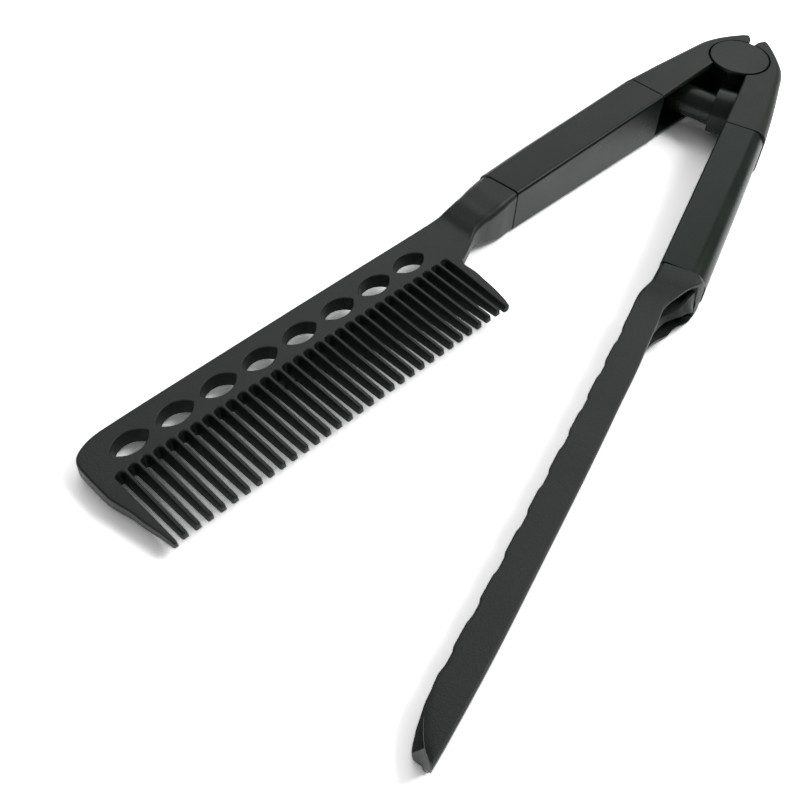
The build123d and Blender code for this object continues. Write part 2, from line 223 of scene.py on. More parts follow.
def turned_about_hinge(profile):
    """Surface of revolution about the hinge: (radius, level) turned through a full circle."""
    turn = np.linspace(0, 2 * math.pi, TURN_STEPS, endpoint=False)
    radius, level = np.asarray(profile, float).T[:, :, None]
    rows = np.stack(np.broadcast_arrays(radius * np.cos(turn), radius * np.sin(turn), level), -1)
    return rows * MILLIMETRE + (0, 0, HINGE_LEVEL)


def cap(name, side):
    """Cap whose face lies at the outer level on the upper (1) or lower (-1) side."""
    edge = [(CAP_RADIUS - inset, CAP_OUTER_LEVEL - drop) for inset, drop in rounding(CAP_EDGE, 5)]
    profile = [(0, CAP_OUTER_LEVEL), (CAP_RADIUS / 2, CAP_OUTER_LEVEL)] + edge
    profile += [(CAP_RADIUS, CAP_UNDER_LEVEL), (CAP_BOSS_RADIUS, CAP_UNDER_LEVEL)]
    profile += [(CAP_BOSS_RADIUS, CAP_INNER_LEVEL), (0, CAP_INNER_LEVEL)]
    shell = Shell()
    shell.grid(turned_about_hinge(np.array(profile) * (1, side)), around=True)
    return shell.build(name)


CAP_PLASTIC = moulded_plastic("cap_satin", (0.006, 0.0135, 0.0075), 0.42, 0.5, specular=0.42)
for node, side in (("pivot_cap_top", 1), ("pivot_cap_bottom", -1)):
    disc = cap(node + "_disc", side)
    disc.data.materials.append(CAP_PLASTIC)
    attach(disc, "comb_arm")
    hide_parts(node)

# ----------------------------------------
# Hinge pin: ground steel, pressed into the caps and running through the eyes of both heads. It is
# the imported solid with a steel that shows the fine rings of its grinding.
RING_GLOSS, RING_SHADE, RING_WANDER = 0.06, 0.85, 3.0


def ground_steel(name, colour, rough, ring_scale):
    """Bare steel: rings of grinding, a wave across Object coordinates, vary its roughness."""
    material, tree, shader = new_material(name)
    shader.inputs["Metallic"].default_value = 1.0
    place = tree.nodes.new("ShaderNodeTexCoord").outputs["Object"]
    rings = tree.nodes.new("ShaderNodeTexWave")
    rings.bands_direction = "Z"
    rings.inputs["Scale"].default_value = ring_scale
    rings.inputs["Distortion"].default_value = RING_WANDER
    tree.links.new(place, rings.inputs["Vector"])
    vary_gloss(tree, rings.outputs["Fac"], rough, RING_GLOSS)
    vary_tint(tree, rings.outputs["Fac"], colour, RING_SHADE, 1)
    return material


pin = frame["nodes"]["pivot_pin"]
pin.data.materials.clear()
pin.data.materials.append(ground_steel("pin_ground_steel", (0.6, 0.6, 0.6), 0.28, 900.0))

# ----------------------------------------
# Heads: black satin shells at the hinge end of each arm, open on the side that faces the other arm.
# Each carries its eyes on the pin and ends in a beak behind the hinge that stops the opening.
ARM_ANGLE = math.radians(10.4)
COMB_SIDE, CLIP_SIDE = -1, 1
HEAD_END = 31.95
HEAD_EDGE = 0.15
HEAD_OUTER = {
    COMB_SIDE: [(-12.0, 5.2), (-11.9, 5.7), (-11.4, 6.5), (-9.7, 7.9), (-7, 9.8), (-3.5, 11.6),
                (0, 12.8), (8, 13.8), (20, 15.15), (32, 16.5)],
    CLIP_SIDE: [(-12.0, 5.2), (-11.9, 5.7), (-11.4, 6.4), (-9.7, 7.8), (-7, 9.65), (-3.5, 11.6),
                (0, 13.05), (8, 14.1), (20, 15.2), (32, 15.85)],
}
HEAD_ROUND = {
    COMB_SIDE: [(-12.0, 0.9), (-7, 1.8), (0, 2.3), (8, 2.5), (20, 2.5), (32, 2.4)],
    CLIP_SIDE: [(-12.0, 0.9), (-7, 1.8), (0, 2.3), (8, 2.6), (20, 2.9), (32, 3.1)],
}
HEAD_HALF = [(-12.0, 8.6), (0, 8.6), (32, 7.75)]
HEAD_FALL = [(-12.0, 0), (18, 0), (32, 0.03)]
HEAD_INNER = 3.8
HEAD_LIP = [(8.2, 0.35), (12, 0.9), (32, 0.9)]
HEAD_ROUND_LIMIT, HEAD_LIP_LIMIT = 0.7, 0.2
RECESS_RADIUS = 9.0
RECESS_START, RECESS_END = -8.67, 8.158
RECESS_FIRST_TURN = 0.55
BEAK_REACHES = (-12.0, -11.96, -11.9, -11.8, -11.65, -11.4, -11.1, -10.6, -10.0)
BEAK_FACE = [(-12.0, 5.0), (-11.9, 4.5), (-11.5, 3.95), (-10.8, 3.3), (-10.2, 2.95),
             (RECESS_START, 2.42)]
CAVITY_LEVEL = 6.5
HEAD_WALL = 2.0
CAVITY_START, CAVITY_END = -9.5, 31.2
EYE_RADIUS = 6.5
EYE_BORE = 2.1
WEB_HALF = 5.0
WEB_REACH = 10.6
COMB_EYES, CLIP_EYES = ((3.2, 6.4), (-6.4, -3.2)), ((-3.0, 3.0),)


def on_arm(reach, outward, level, side, angle=ARM_ANGLE):
    """Point of an arm: reach runs along it from the hinge, outward away from the other arm, level
    up from the middle plane. x = side (reach sin a + outward cos a), y = outward sin a - reach
    cos a, where a is the arm's angle."""
    reach, outward, level = np.broadcast_arrays(reach, outward, level)
    x = side * (reach * math.sin(angle) + outward * math.cos(angle))
    y = outward * math.sin(angle) - reach * math.cos(angle)
    return np.stack([x, y, level], -1) * MILLIMETRE + (0, 0, HINGE_LEVEL)


def curve(at, table):
    """Smooth curve through a table of (place, value...): cubic pieces whose slope at a row is the
    mean of the two chords beside it, limited so that no piece swings past its rows."""
    table = np.array([tuple(row) for row in table], float)
    table = table[np.argsort(table[:, 0])]
    x, y = table[:, 0], table[:, 1:]
    chord = np.diff(y, axis=0) / np.diff(x)[:, None]
    before, after = np.vstack([chord[:1], chord]), np.vstack([chord, chord[-1:]])
    slope = (before + after) / 2
    limit = 3 * np.minimum(np.abs(before), np.abs(after))
    slope = np.where(before * after > 0, np.clip(slope, -limit, limit), 0)
    at = np.clip(np.atleast_1d(at).astype(float), x[0], x[-1])
    i = np.clip(np.searchsorted(x, at, side="right") - 1, 0, len(x) - 2)
    step = (x[i + 1] - x[i])[:, None]
    t = ((at - x[i]) / (x[i + 1] - x[i]))[:, None]
    value = (1 + 2 * t) * (1 - t) ** 2 * y[i] + t ** 2 * (3 - 2 * t) * y[i + 1]
    value += step * (t * (1 - t) ** 2 * slope[i] + t ** 2 * (t - 1) * slope[i + 1])
    return value[:, 0] if value.shape[1] == 1 else value


def section_on_arm(reach, row, side):
    """A section's (outward, level) pairs as points of an arm."""
    return on_arm(reach, row[:, 0], row[:, 1], side)


def mirrored(points):
    """The same points on the other side of the hinge's middle plane: z becomes twice the plane's
    height less z."""
    return np.asarray(points, float) * (1, 1, -1) + (0, 0, 2 * HINGE_LEVEL)


def mirrored_ring(row):
    """Ring that a row from middle plane to middle plane and its mirror image make."""
    return np.concatenate([row, mirrored(row)[::-1]])


def head_inner(reach):
    """Inner edge of a head: its straight edge, the round recess of the cap, the beak's face."""
    straight = np.where(reach > 0, HEAD_INNER, -99.0)
    recess = np.sqrt(np.maximum(RECESS_RADIUS ** 2 - reach ** 2, 0))
    beak = np.interp(reach, *np.array(BEAK_FACE).T)
    return np.where(reach < RECESS_START, beak, np.maximum(straight, recess))


def lean_down(row, inner, half, fall):
    """Let the top of a section fall by a share of a millimetre for every millimetre outwards."""
    row[:, 1] *= 1 - fall * np.maximum(row[:, 0] - inner, 0) / half
    return row


def head_row(reach, side, hollow, inset):
    """Upper half of a head's section: outer wall, rounding, top, lip, ceiling, inner wall."""
    outer = curve(reach, HEAD_OUTER[side])[0] - inset
    half = curve(reach, HEAD_HALF)[0] - inset
    inner = float(head_inner(reach)) + inset
    width = outer - inner
    corner = rounding(min(curve(reach, HEAD_ROUND[side])[0], HEAD_ROUND_LIMIT * width), 8)[::-1]
    lip = rounding(min(curve(reach, HEAD_LIP)[0], HEAD_LIP_LIMIT * width), 4)
    row = [(outer, 0)] + [(outer - i, half - d) for i, d in corner]
    row += [(inner + i, half - d) for i, d in lip]
    wall = outer - HEAD_WALL if hollow else inner
    level = CAVITY_LEVEL - inset
    row += [(inner, level), ((inner + wall) / 2, level), (wall, level), (wall, 0)]
    return lean_down(np.array(row), inner, half, curve(reach, HEAD_FALL)[0])


def make_head(name, side):
    """Head shell: sections along the arm, closed over the beak and the bulkhead."""
    shell = Shell()
    near = (CAVITY_START, -9.1, RECESS_START, -8.4, -8.0, -7.5)
    last_turn = math.pi - math.acos(RECESS_END / RECESS_RADIUS)
    arc = -RECESS_RADIUS * np.cos(np.linspace(RECESS_FIRST_TURN, last_turn, 40))
    arc = arc[arc > near[-1] + 0.1]
    stations = [(u, False, 0) for u in (*BEAK_REACHES, CAVITY_START)]
    stations += [(u, True, 0) for u in (*near, *arc, RECESS_END)]
    stations += [(u, True, 0) for u in np.linspace(RECESS_RADIUS, CAVITY_END, 14)]
    stations += [(u, False, 0) for u in (CAVITY_END, 31.5, HEAD_END - HEAD_EDGE)]
    stations += [(HEAD_END - 0.04, False, 0.04), (HEAD_END, False, HEAD_EDGE)]
    rows = [section_on_arm(u, head_row(u, side, *how), side) for u, *how in stations]
    for half in (rows, mirrored(rows)):
        shell.grid(half)
    for row in (rows[0], rows[-1]):
        shell.lid(mirrored_ring(np.concatenate([row[:-3], row[-1:]])))
    return shell.build(name, 30.0)


def make_eye(name, side, low, high):
    """Eye on the pin: a ring that grows into a web towards the head's outer wall. The boundary lies
    at the eye's radius, or further where the web reaches in that direction."""
    turn = np.linspace(0, 2 * math.pi, TURN_STEPS, endpoint=False)
    along, out = np.sin(turn), np.cos(turn)
    web = np.minimum(WEB_REACH / np.maximum(out, 1e-6), WEB_HALF / np.maximum(np.abs(along), 1e-6))
    reach = np.where(out > 0, np.maximum(EYE_RADIUS, web), EYE_RADIUS)
    rings = [(EYE_BORE, low), (reach, low), (reach, high), (EYE_BORE, high), (EYE_BORE, low)]
    shell = Shell()
    shell.grid([on_arm(r * along, r * out, level, side) for r, level in rings], around=True)
    return shell.build(name)


HEAD_PLASTIC = moulded_plastic("head_satin", (0.006, 0.0135, 0.0075), 0.44, 0.6, specular=0.42)
for node, side, body, levels in (
    ("comb_head", COMB_SIDE, "comb_arm", COMB_EYES),
    ("clip_head", CLIP_SIDE, "clip_arm", CLIP_EYES),
):
    head_pieces = [make_head(node + "_shell", side)]
    head_pieces += [make_eye(f"{node}_eye_{i}", side, *pair) for i, pair in enumerate(levels)]
    for piece in head_pieces:
        piece.data.materials.append(HEAD_PLASTIC)
        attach(piece, body)
    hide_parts(node)

# ----------------------------------------
# Spring guides: a round cup on the clip arm's head and a plunger on the comb arm's head that slides
# into it, against the coil spring inside.
GUIDE_REACH = 16.5
GUIDE_SEAT = 13.2
CUP_RADIUS = 6.4
CUP_BORE = 5.35
CUP_RIM = -1.7
CUP_FLOOR = 11.2
PLUNGER_RADIUS = 4.4
PLUNGER_SEAT_RADIUS = 3.4
PLUNGER_SHOULDER = 8.0
PLUNGER_TIP = -7.2
PLUNGER_LEAN = 0.18
PLUNGER_LEAN_CENTRE = -3.0
PLUNGER_DROP = 0.1
GUIDE_STEPS = 72
CUP_LIP, PLUNGER_SHOULDER_ROUND, PLUNGER_TIP_ROUND = 0.25, 0.7, 0.5


def turned_about_guide(profile, side, lean, drop):
    """Surface of revolution about the guide: (radius, outward) turned through a full circle, about
    an axis that may lean along the arm and lie below the middle plane."""
    turn = np.linspace(0, 2 * math.pi, GUIDE_STEPS, endpoint=False)
    radius, outward = np.asarray(profile, float).T[:, :, None]
    centre = GUIDE_REACH + lean * (outward - PLUNGER_LEAN_CENTRE)
    return on_arm(centre + radius * np.cos(turn), outward, radius * np.sin(turn) - drop, side)


cup_lip = rounding(CUP_LIP, 4)
plunger_shoulder = rounding(PLUNGER_SHOULDER_ROUND, 5)
plunger_tip = rounding(PLUNGER_TIP_ROUND, 5)[::-1]
cup_profile = [(0, GUIDE_SEAT), (CUP_RADIUS, GUIDE_SEAT), (CUP_RADIUS, 6.0)]
cup_profile += [(CUP_RADIUS - i, CUP_RIM + d) for i, d in cup_lip[::-1]]
cup_profile += [(CUP_BORE + i, CUP_RIM + d) for i, d in cup_lip]
cup_profile += [(CUP_BORE, 6.0), (CUP_BORE, CUP_FLOOR), (0, CUP_FLOOR)]
plunger_profile = [(0, GUIDE_SEAT), (PLUNGER_SEAT_RADIUS, GUIDE_SEAT)]
plunger_profile += [(PLUNGER_SEAT_RADIUS, PLUNGER_SHOULDER)]
plunger_profile += [(PLUNGER_RADIUS - i, PLUNGER_SHOULDER - d) for i, d in plunger_shoulder]
plunger_profile += [(PLUNGER_RADIUS, 3.0), (PLUNGER_RADIUS, -3.0)]
plunger_profile += [(PLUNGER_RADIUS - i, PLUNGER_TIP + d) for i, d in plunger_tip] + [(0, PLUNGER_TIP)]
GUIDE_PLASTIC = moulded_plastic("guide_smooth", (0.006, 0.0125, 0.0075), 0.28, 0.2, specular=0.38)
for node, side, body, profile, tilt in (
    ("spring_cup", CLIP_SIDE, "clip_arm", cup_profile, (0, 0)),
    ("spring_plunger", COMB_SIDE, "comb_arm", plunger_profile, (PLUNGER_LEAN, PLUNGER_DROP)),
):
    guide = Shell()
    guide.grid(turned_about_guide(profile, side, *tilt), around=True)
    piece = guide.build(node + "_turned")
    piece.data.materials.append(GUIDE_PLASTIC)
    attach(piece, body)
    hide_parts(node)

# ----------------------------------------
# Opening spring: a coil of plain steel wire on the floor of the cup. It is built at one length; the
# real spring shortens as the arms close and the plunger comes into the cup.
SPRING_RADIUS = 4.0
SPRING_TURNS = 4
SPRING_FREE_END = 2.3
WIRE_RADIUS = 0.45


def make_spring():
    """Coil of wire: its middle line turns about the guide's axis while it moves evenly from the
    cup's floor towards the plunger, and a circle round each of its points makes the wire."""
    turn = np.linspace(0, 2 * math.pi * SPRING_TURNS, 60 * SPRING_TURNS + 1)[:, None]
    around = np.linspace(0, 2 * math.pi, 14, endpoint=False)
    travel = CUP_FLOOR - SPRING_FREE_END - 2 * WIRE_RADIUS
    radius = SPRING_RADIUS + WIRE_RADIUS * np.cos(around)
    outward = CUP_FLOOR - WIRE_RADIUS - travel * turn / turn[-1] + WIRE_RADIUS * np.sin(around)
    wire = on_arm(GUIDE_REACH + radius * np.cos(turn), outward, radius * np.sin(turn), CLIP_SIDE)
    coil = Shell()
    coil.grid(wire, around=True)
    coil.lid(wire[0])
    coil.lid(wire[-1])
    return coil.build("opening_spring_coil")


spring = make_spring()
spring.data.materials.append(ground_steel("spring_wire_steel", (0.55, 0.55, 0.55), 0.3, 500.0))
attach(spring, "clip_arm")
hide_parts("opening_spring")
seat = on_arm(GUIDE_REACH, CUP_FLOOR, 0, CLIP_SIDE)
along = seat - on_arm(GUIDE_REACH, SPRING_FREE_END, 0, CLIP_SIDE)
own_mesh(spring)

# ----------------------------------------
# Sleeves: black grip tubes, one on each arm, slid over the head's tang and the blade's tang. Their
# top and sides are satin, their corners large on the outside and small on the inside.
SLEEVE_START, SLEEVE_END = 32.15, 94.1
SLEEVE_OUTER = {
    COMB_SIDE: [(32, 16.7), (65, 17.0), (78, 17.08), (94.2, 16.85)],
    CLIP_SIDE: [(32, 15.5), (60, 15.7), (94.2, 15.7)],
}
SLEEVE_INNER = {COMB_SIDE: [(32, 3.5), (94.2, 3.5)], CLIP_SIDE: [(32, 3.75), (94.2, 3.3)]}
SLEEVE_ROUND = {COMB_SIDE: [(32, 2.4), (94.2, 3.4)], CLIP_SIDE: [(32, 3.9), (94.2, 4.9)]}
SLEEVE_HALF = [(32, 7.7), (94.2, 6.6)]
SLEEVE_FALL = [(32, 0.03), (94.2, 0.09)]
SLEEVE_INNER_ROUND = [(32, 0.9), (94.2, 1.2)]
SLEEVE_WALL = 1.6
SLEEVE_EDGE, SLEEVE_BORE_EDGE, SLEEVE_LEAST_ROUND = 0.15, 0.1, 0.1
SCREW_REACHES, SCREW_OUTWARD, SCREW_STEPS = (39.0, 85.2), 9.8, 48
HOLE_PROFILE = [(0, -1.0), (3.4, -1.0), (2.5, -0.08), (1.25, 1.25), (1.25, 3.0), (0, 3.0)]


def sleeve_row(reach, side, inset):
    """Section of a sleeve as a closed ring, moved inwards by inset."""
    outer = curve(reach, SLEEVE_OUTER[side])[0] - inset
    half = curve(reach, SLEEVE_HALF)[0] - inset
    inner = curve(reach, SLEEVE_INNER[side])[0] + inset
    small = max(curve(reach, SLEEVE_INNER_ROUND)[0] - inset, SLEEVE_LEAST_ROUND)
    large = max(curve(reach, SLEEVE_ROUND[side])[0] - inset, SLEEVE_LEAST_ROUND)
    small, large = rounding(small, 5)[::-1], rounding(large, 12)
    upper = [(inner, 0)] + [(inner + i, half - d) for i, d in small]
    upper += [(outer - i, half - d) for i, d in large] + [(outer, 0)]
    upper = lean_down(np.array(upper), inner, half, curve(reach, SLEEVE_FALL)[0])
    lower = upper[1:-1][::-1] * (1, -1)
    return np.vstack([upper, lower])


def turned_under_sleeve(profile, reach, side):
    """Surface of revolution about the vertical line of a sleeve screw. The profile is (radius,
    height above the sleeve's underside); a radius below zero stands for a six-sided socket."""
    inner, half = curve(reach, SLEEVE_INNER[side])[0], curve(reach, SLEEVE_HALF)[0]
    underside = curve(reach, SLEEVE_FALL)[0] * (SCREW_OUTWARD - inner) - half
    turn = np.linspace(0, 2 * math.pi, SCREW_STEPS, endpoint=False)
    hexagon = 1 / np.cos(turn % (math.pi / 3) - math.pi / 6)
    radius, height = np.asarray(profile, float).T[:, :, None]
    radius = np.where(radius < 0, -radius * hexagon, radius)
    outward = SCREW_OUTWARD + radius * np.sin(turn)
    return on_arm(reach + radius * np.cos(turn), outward, underside + height, side)


def make_sleeve(name, side):
    """Sleeve: inner wall out to the end, round the end's edge, along the outside and back."""
    start, end = SLEEVE_START, SLEEVE_END
    edge = rounding(SLEEVE_EDGE, 4)
    bore = SLEEVE_WALL - SLEEVE_BORE_EDGE
    stations = [(start + SLEEVE_BORE_EDGE, SLEEVE_WALL), (start, bore)]
    stations += [(start + d, i) for i, d in edge]
    stations += [(u, 0) for u in np.linspace(start + SLEEVE_EDGE, end - SLEEVE_EDGE, 24)[1:-1]]
    stations += [(end - d, i) for i, d in edge[::-1]]
    stations += [(end, bore), (end - SLEEVE_BORE_EDGE, SLEEVE_WALL)]
    stations += [(start + SLEEVE_BORE_EDGE, SLEEVE_WALL)]
    rows = [section_on_arm(u, sleeve_row(u, side, inset), side) for u, inset in stations]
    shell = Shell()
    shell.grid(rows, around=True)
    tube = shell.build(name, 40.0)
    for reach in SCREW_REACHES:
        countersink = Shell()
        countersink.grid(turned_under_sleeve(HOLE_PROFILE, reach, side), around=True)
        cutter = countersink.build(name + "_cutter")
        cut = tube.modifiers.new("screw_hole", "BOOLEAN")
        cut.operation = "DIFFERENCE"
        cut.object = cutter
        bpy.context.view_layer.update()
        finished = tube.evaluated_get(bpy.context.evaluated_depsgraph_get())
        shape = bpy.data.meshes.new_from_object(finished)
        tube.modifiers.remove(cut)
        tube.data = shape
        bpy.data.objects.remove(cutter)
    return tube


SLEEVE_PLASTIC = moulded_plastic("sleeve_satin", (0.006, 0.0145, 0.0095), 0.3, 0.35, specular=0.26)
for node, side, body in (
    ("comb_sleeve", COMB_SIDE, "comb_arm"),
    ("clip_sleeve", CLIP_SIDE, "clip_arm"),
):
    sleeve = make_sleeve(node + "_tube", side)
    sleeve.data.materials.append(SLEEVE_PLASTIC)
    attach(sleeve, body)
    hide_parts(node)

# ----------------------------------------
# Sleeve screws: two blackened steel screws under each sleeve, one into the head's tang and one into
# the blade's tang. Their countersunk heads lie just below the sleeve's face and have hex sockets.
SCREW_PROFILE = [(0, 1.0), (-0.95, 1.0), (-0.95, 0.12), (2.3, 0.12), (2.38, 0.2), (1.2, 1.4),
                 (1.2, 8.2), (0.3, 9.0), (0, 9.0)]
SCREW_STEEL = ground_steel("screw_black_oxide", (0.12, 0.12, 0.125), 0.4, 600.0)
for node, side, body in (
    ("comb_arm_screws", COMB_SIDE, "comb_arm"),
    ("clip_arm_screws", CLIP_SIDE, "clip_arm"),
):
    pair = Shell()
    for reach in SCREW_REACHES:
        pair.grid(turned_under_sleeve(SCREW_PROFILE, reach, side), around=True)
    screws = pair.build(node + "_turned")
    screws.data.materials.append(SCREW_STEEL)
    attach(screws, body)
    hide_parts(node)

# ----------------------------------------
# Comb: one moulding of heat-resistant black plastic. A flat plate with eight lens-shaped openings
# carries thirty ridged teeth and a guard at each end, and its shank thickens up to the sleeve.
PLATE_HALF = 1.85
COMB_SEAM = 94.3
TANG_START, TANG_END, TANG_INSET = 76.0, 94.25, 1.9
SHANK_START, NECK, BACK_END = 95.2, 118.0, 215.5
GAP_PITCH = 3.2
GAPS = 123.2 + GAP_PITCH * np.arange(31)
ROOT = 1.15
SCOOP = 0.7
GAP_ROWS = np.array([(0.70, 0), (0.58, 0.06), (0.48, 0.22), (0.40, 0.5), (0.14, PLATE_HALF),
                     (-0.12, 3.3), (-0.10, 3.55), (0.08, 2 * PLATE_HALF)])
PLATE_EDGE = 0.6
PLATE_ROUND = rounding(PLATE_EDGE, 6)
EDGE_ROWS = np.vstack([PLATE_ROUND, [(0, PLATE_HALF)], PLATE_ROUND[::-1] * (1, -1)])
EDGE_ROWS[len(PLATE_ROUND) + 1:, 1] += 2 * PLATE_HALF
RIM_ROWS = np.vstack([rounding(0.35, 4), [(-0.22, PLATE_HALF), (-0.45, 3.5), (-0.35, 2 * PLATE_HALF)]])
LENSES = 130.025 + 11.825 * np.arange(8)
LENS_CENTRE, LENS_HALF_LENGTH, LENS_HALF_HEIGHT = 7.2, 4.8, 2.8
COMB_BACK = [(94.0, 16.3), (96, 16.2), (99, 15.6), (102, 15.05), (105, 14.45), (108, 14.3),
             (112, 14.3), (NECK, 14.15), (130, 14.2), (145, 14.3), (175, 14.35), (205, 14.3),
             (BACK_END, 14.15)]
COMB_INNER = [(94.0, 3.6), (97, 3.4), (100, 3.1), (104, 3.2), (106, 3.5), (108, 3.6), (110, 3.3),
              (112, 2.35), (114, 1.4), (116, 0.45), (NECK, -0.45)]
COMB_HALF = [(94.0, 6.4), (97, 6.2), (100, 6.0), (104, 5.0), (106, 4.6), (108, 3.8), (110, 3.0),
             (112, 2.1), (114, 1.9), (116, PLATE_HALF), (NECK, PLATE_HALF)]
COMB_FALL = [(94.0, 0.09), (100, 0.06), (108, 0), (NECK, 0)]
COMB_BACK_ROUND = [(94.0, 3.5), (99, 2.9), (105, 1.9), (112, 0.9), (NECK, PLATE_EDGE)]
COMB_INNER_ROUND = [(94.0, 1.3), (97, 1.7), (100, 1.9), (106, 1.8), (110, 1.3), (114, 0.8),
                    (NECK, PLATE_EDGE)]
END_CORNER = [(BACK_END, 14.15), (218.3, 13.8), (221.3, 12.75), (223.3, 11.3), (224.2, 9.4),
              (224.4, 7.0)]
END_GUARD = [(ROOT, 224.4), (-1.6, 224.25), (-4.1, 223.7), (-7.0, 222.9), (-9.9, 222.5),
             (-12.6, 222.0), (-14.9, 221.5), (-18.8, 220.95)]
END_GUARD_GAP = [(ROOT, 219.8), (-18.8, 219.75)]
NECK_GUARD = [(-2.75, 119.8), (-5.9, 119.5), (-8.9, 119.8), (-11.8, 120.05), (-15, 120.55),
              (-18, 121.3), (-18.8, 121.7)]
NECK_GUARD_GAP = [(ROOT, 122.5), (-18.8, 122.9)]
SHANK_UNDERSIDE = 0.12
NECK_CENTRE, NECK_AXES = (NECK, -2.75), (1.8, 2.3)
TOOTH_TIP, GUARD_TIP = -18.5, -19.0
TOOTH_REACHES = (ROOT, -3.0, -8.0, -13.0, -17.8)
TOOTH_ROUND, NECK_GUARD_ROUND, END_GUARD_ROUND = 0.7, 0.7, 0.9
TOOTH_TAPER, TOOTH_DROP, TIP_PINCH, RIDGE_LIMIT = 0.16, 0.8, 0.45, 0.92
DEEP_START, DEEP_GROWTH, DEEP_END, DEEP_FADE = 0.1, 3, 103, 9
COMB_LEAST_ROUND = 0.3


def smooth(share):
    """Smooth step from 0 to 1: 3 t^2 - 2 t^3."""
    share = np.clip(share, 0, 1)
    return share ** 2 * (3 - 2 * share)


def comb_point(reach, outward, level):
    """Point of the comb arm."""
    return on_arm(reach, outward, level, COMB_SIDE)


def edge_grid(line, inward, rows):
    """Plate edge along a line: each point moves inwards and down by the rows' pairs."""
    place = line[None] + inward[None] * rows[:, :1, None]
    return comb_point(place[..., 0], place[..., 1], PLATE_HALF - rows[:, 1:])


def right_of(line):
    """Unit vectors to the right of a line's direction of travel."""
    along = np.gradient(line, axis=0)
    along /= np.linalg.norm(along, axis=1)[:, None]
    return np.stack([along[:, 1], -along[:, 0]], -1)


def tooth_grid(outward, left, right, height, left_rows, right_rows, pinch):
    """Tooth sections as rings, up the left side, over the top and down the right side. The edge
    rows shrink by pinch towards the tip, and their drop follows the tooth's height."""
    outward, left, right, height = (v[:, None] for v in (outward, left, right, height))
    most = left_rows[0, 0] + right_rows[0, 0]
    shrink = np.minimum(pinch[:, None], RIDGE_LIMIT * (right - left) / most)
    side_l, side_r = left_rows[::-1], right_rows
    place = np.hstack([left + shrink * side_l[:, 0], right - shrink * side_r[:, 0]])
    drop = np.hstack([side_l[:, 1], side_r[:, 1]])[None] / PLATE_HALF
    return comb_point(place, outward, height * (1 - drop))


def add_tooth(shell, outward, left, right, height, left_rows, right_rows, tip_length):
    """Tooth with a rounded tip: over its last stretch width and height follow an ellipse."""
    turn = np.linspace(0, math.pi / 2, 7)[1:-1]
    middle, half = (left[-1] + right[-1]) / 2, (right[-1] - left[-1]) / 2
    outward = np.concatenate([outward, outward[-1] - tip_length * np.sin(turn)])
    left = np.concatenate([left, middle - half * np.cos(turn)])
    right = np.concatenate([right, middle + half * np.cos(turn)])
    height = np.concatenate([height, height[-1] * np.cos(turn)])
    pinch = 1 - TIP_PINCH * (outward[0] - outward) / (outward[0] - outward[-1])
    grid = tooth_grid(outward, left, right, height, left_rows, right_rows, pinch)
    shell.grid(grid, around=True)
    shell.lid(grid[-1])


def arc_points(start, end, steps):
    """Unit vectors around a circle from one angle to another."""
    turn = np.linspace(start, end, steps)
    return np.column_stack([np.cos(turn), np.sin(turn)])


